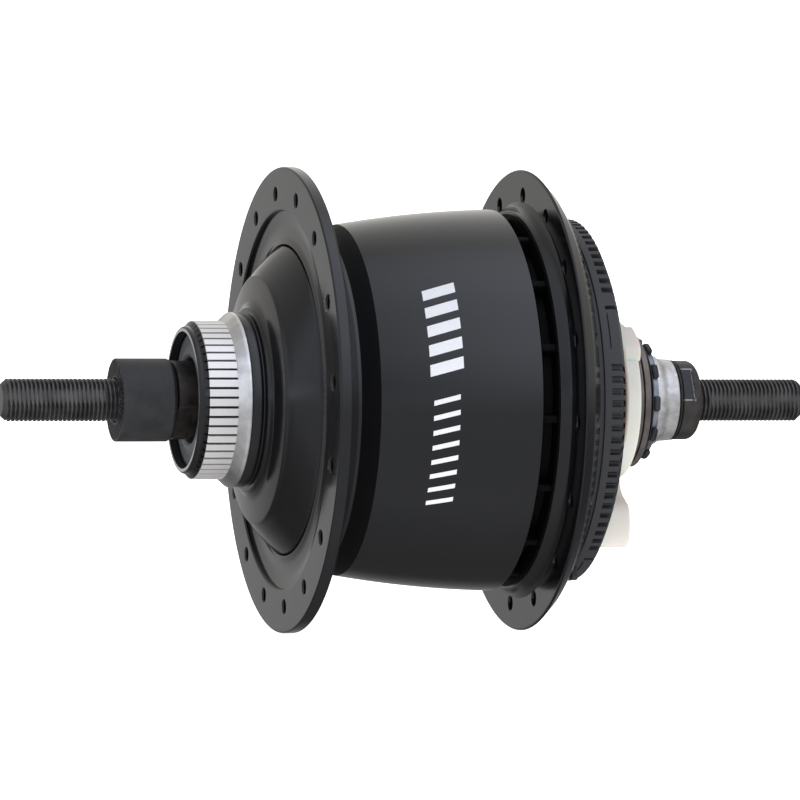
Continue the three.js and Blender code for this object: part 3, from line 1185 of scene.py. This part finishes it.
def selector_ring(base_material, lug_material):
    """The castellated ring: a worn silver base with black coated lugs, and a black ring at their foot as painted
    shadow.
    """
    outline = rounded([(53.85, 10.4), (53.85, 12.7), (55.5, 12.7), (55.5, 10.4)], 0.15)
    base = revolve("selector_base", outline, base_material, "selector", 160)
    # Painted shadow: a thin black ring between the discs and the lugs, where the gap lies in shade
    shoulder = rounded([(53.81, 10.5), (53.81, 13.4), (54.1, 13.4), (54.1, 10.5)], 0.08, 2)
    painted_shadow_ring = revolve("selector_painted_shadow", shoulder, lug_material, "selector", 160)
    bm = bmesh.new()
    count = 11
    for i in range(count):
        block(bm, arc(12.3, 13.9, front(-3.6 + 360 / count * i), 15, 5), 54.0, 55.6)
    lugs = finish_mesh("selector_lugs", bm, lug_material, "selector", 30)
    bevelled(lugs, 0.6, 4)
    return [base, painted_shadow_ring, lugs]


# Studio





# The light tent round the axle: degrees up from the front, brightness, and how warm it is
TENT = [
    (0, 0.8, -0.5),
    (12, 1.15, -1),
    (31, 1.48, -1),
    (72, 1.62, -1),
    (85, 1.5, -0.9),
    (98, 1.15, -0.6),
    (108, 0.85, 0),
    (132, 0.9, 0.2),
    (150, 0.98, 0.3),
    (172, 0.92, 0.4),
    (180, 0.62, 0),
    (190, 0.34, -0.2),
    (220, 0.1, 0),
    (241, 0.18, 0),
    (272, 0.37, -0.2),
    (295, 0.56, -0.3),
    (335, 0.6, -0.4),
    (354, 0.64, -0.5),
    (360, 0.8, -0.5),
]


def tent_color(level, warmth):
    return (level * (1 + 0.05 * warmth), level, level * (1 - 0.13 * warmth), 1)


def tent_world():
    """A light tent wrapped round the axle. Its upper left is dimmer than its upper right."""
    world = bpy.data.worlds.new("studio")
    world.use_nodes = True
    tree = Nodes(world.node_tree)
    way = tree.node(
        "SeparateXYZ", {0: tree.nodes.new("ShaderNodeTexCoord").outputs["Generated"]}
    ).outputs
    turn = tree.math("ARCTAN2", way[2], tree.math("MULTIPLY", way[1], -1.0))
    share = tree.math("FLOORED_MODULO", tree.math("DIVIDE", turn, TURN), 1.0)
    tent = tree.node("ValToRGB", {0: share})
    stops = tent.color_ramp.elements
    stops[0].color = tent_color(*TENT[0][1:])
    stops[1].color = tent_color(*TENT[-1][1:])
    for degrees, level, warmth in TENT[1:-1]:
        stops.new(degrees / 360).color = tent_color(level, warmth)
    leftness = tree.ramp(way[0], 0.25, -0.15)
    upness = tree.ramp(way[2], -0.05, 0.15)
    dimming = tree.math(
        "SUBTRACT", 1.0, tree.math("MULTIPLY", tree.math("MULTIPLY", leftness, upness), 0.48)
    )
    dimming = tree.math("MULTIPLY", dimming, tree.ramp(way[0], 0.32, 0.58, 1.0, 0.45))
    background = tree.nodes["Background"]
    tree.links.new(tent.outputs[0], background.inputs[0])
    tree.links.new(dimming, background.inputs[1])
    bpy.context.scene.world = world


def studio():
    """A white floor and backdrop that only the eye sees, inside the light tent."""
    scene = bpy.context.scene
    scene.view_settings.view_transform = "Standard"
    tent_world()
    white = Shade("studio_white", (0.8, 0.8, 0.8), 0.9)
    white.bsdf.inputs["Emission Color"].default_value = (1, 1, 1, 1)
    white.bsdf.inputs["Emission Strength"].default_value = 1.0
    bm = bmesh.new()
    half = 2.2
    profile = [(-1.4, -0.0523), (1.2, -0.0523), (1.45, -0.02), (1.6, 0.12), (1.65, 0.4), (1.65, 1.6)]
    rows = [[bm.verts.new((side * half, y, z)) for side in (-1, 1)] for y, z in profile]
    for low, high in zip(rows, rows[1:]):
        bm.faces.new((low[0], low[1], high[1], high[0]))
    mesh = bpy.data.meshes.new("backdrop")
    bm.to_mesh(mesh)
    bm.free()
    mesh.materials.append(white.material)
    backdrop = bpy.data.objects.new("backdrop", mesh)
    backdrop.visible_glossy = False
    scene.collection.objects.link(backdrop)


def camera():
    """A long lens at axle height, 15.84 degrees round to the brake side."""
    azimuth = math.radians(15.84)
    distance = 1305.9
    aim_x = -1.7
    lens = 261.2
    data = bpy.data.cameras.new("photo_camera")
    data.sensor_width = 36
    data.lens = lens
    data.clip_start = 0.05
    data.clip_end = 20
    holder = bpy.data.objects.new("photo_camera", data)
    holder.location = (
        (aim_x - distance * math.sin(azimuth)) * MM,
        -distance * math.cos(azimuth) * MM,
        0,
    )
    holder.rotation_euler = (math.pi / 2, 0, -azimuth)
    bpy.context.scene.collection.objects.link(holder)
    bpy.context.scene.camera = holder


# The whole object

camera()
studio()

BLACK = black_anodised()
SHADED_BLACK = shaded_black()
SPLINE = machined_spline()
COLLAR = brushed_collar()
AXLE = steel(
    "axle_oxide", (0.062, 0.058, 0.056), (0.11, 0.105, 0.1), 0.36, 0.75, 0.05, (0.36, 0.35, 0.34)
)
# The right locknut gets painted highlights along the edges of its flats
NUT = steel(
    "nut_oxide", (0.05, 0.044, 0.04), (0.085, 0.077, 0.072), 0.42, 0.7, 0.04, (0.25, 0.24, 0.23), painted_highlight=flat_edge_highlight
)
WASHER = steel("washer_black", (0.012, 0.012, 0.013), (0.03, 0.029, 0.028), 0.45, 0.5)
LOCKNUT = steel("locknut_black", (0.017, 0.0172, 0.018), (0.029, 0.0292, 0.03), 0.5, 0.2, bump=0.02)
CONE = steel("cone_oxide", (0.022, 0.018, 0.017), (0.05, 0.043, 0.04), 0.35, 0.7)
BRONZE = steel(
    "disc_bronze", (0.13, 0.11, 0.098), (0.2, 0.175, 0.16), 0.4, 0.7, 0.04, (0.4, 0.36, 0.33)
)
LUG = steel(
    "lug_black", (0.016, 0.016, 0.018), (0.05, 0.052, 0.056), 0.4, 0.5, 0.05, (0.3, 0.31, 0.34)
)
WORN = steel(
    "worn_blue_grey", (0.08, 0.09, 0.1), (0.34, 0.38, 0.42), 0.42, 0.7, 0.06, (0.6, 0.63, 0.66)
)
GEAR = steel("gear_steel", (0.42, 0.42, 0.43), (0.58, 0.58, 0.59), 0.32, 1.0)
ZINC = zinc_plate()
PLASTIC = moulded_black()
IVORY = ivory()
SEAL = rubber()
PRINT = print_white()


def stands_for(piece, node):
    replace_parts(piece, node)


stands_for(axle_end("axle_left_thread", -1, front(12), AXLE), "axle")
stands_for(axle_end("axle_right_thread", 1, front(0), AXLE), "axle")
stands_for(left_locknut(LOCKNUT), "left_locknut")
stands_for(left_cone(CONE), "left_cone")
stands_for(right_cone(ZINC), "right_cone")
stands_for(lock_washer(WASHER), "right_lock_washer")
stands_for(right_locknut(NUT), "right_locknut")

stands_for(rotor_spline(SPLINE), "brake_side_end_cap")
stands_for(end_cap_neck(BLACK), "brake_side_end_cap")
stands_for(bright_lip(COLLAR), "brake_side_end_cap")
stands_for(rotor_collar(COLLAR), "brake_side_end_cap")
stands_for(bell(BLACK), "brake_side_end_cap")
stands_for(dust_seal(SEAL), "left_dust_seal")

for make in (shell_neck, shell_barrel, left_flange, right_flange):
    stands_for(make(BLACK), "hub_shell")
# The valley slope, the groove lining and the webs take the darker coating as painted shade
for make in (neck_slope, groove_shade_lining, groove_webs):
    stands_for(make(SHADED_BLACK), "hub_shell")
barrel_stripes(PRINT)

for part in drive_dust_cap(PLASTIC):
    stands_for(part, "drive_side_dust_cap")
stands_for(driver_sleeve(GEAR), "driver")
stands_for(driver_disc("driver_inner_disc_detail", 50.2, 51.2, BRONZE), "driver_inner_disc")
stands_for(driver_disc("driver_outer_disc_detail", 51.5, 52.9, BRONZE), "driver_outer_disc")
for part in retaining_clip(IVORY):
    stands_for(part, "retaining_clip")
for part in selector_ring(WORN, LUG):
    stands_for(part, "selector_ring")

REPLACED = {node for piece in bpy.data.objects for node in piece.get("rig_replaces", [])}
for node_name, node_object in frame["nodes"].items():
    if node_name in REPLACED:
        continue
    node_object.data.materials.clear()
    node_object.data.materials.append(GEAR)
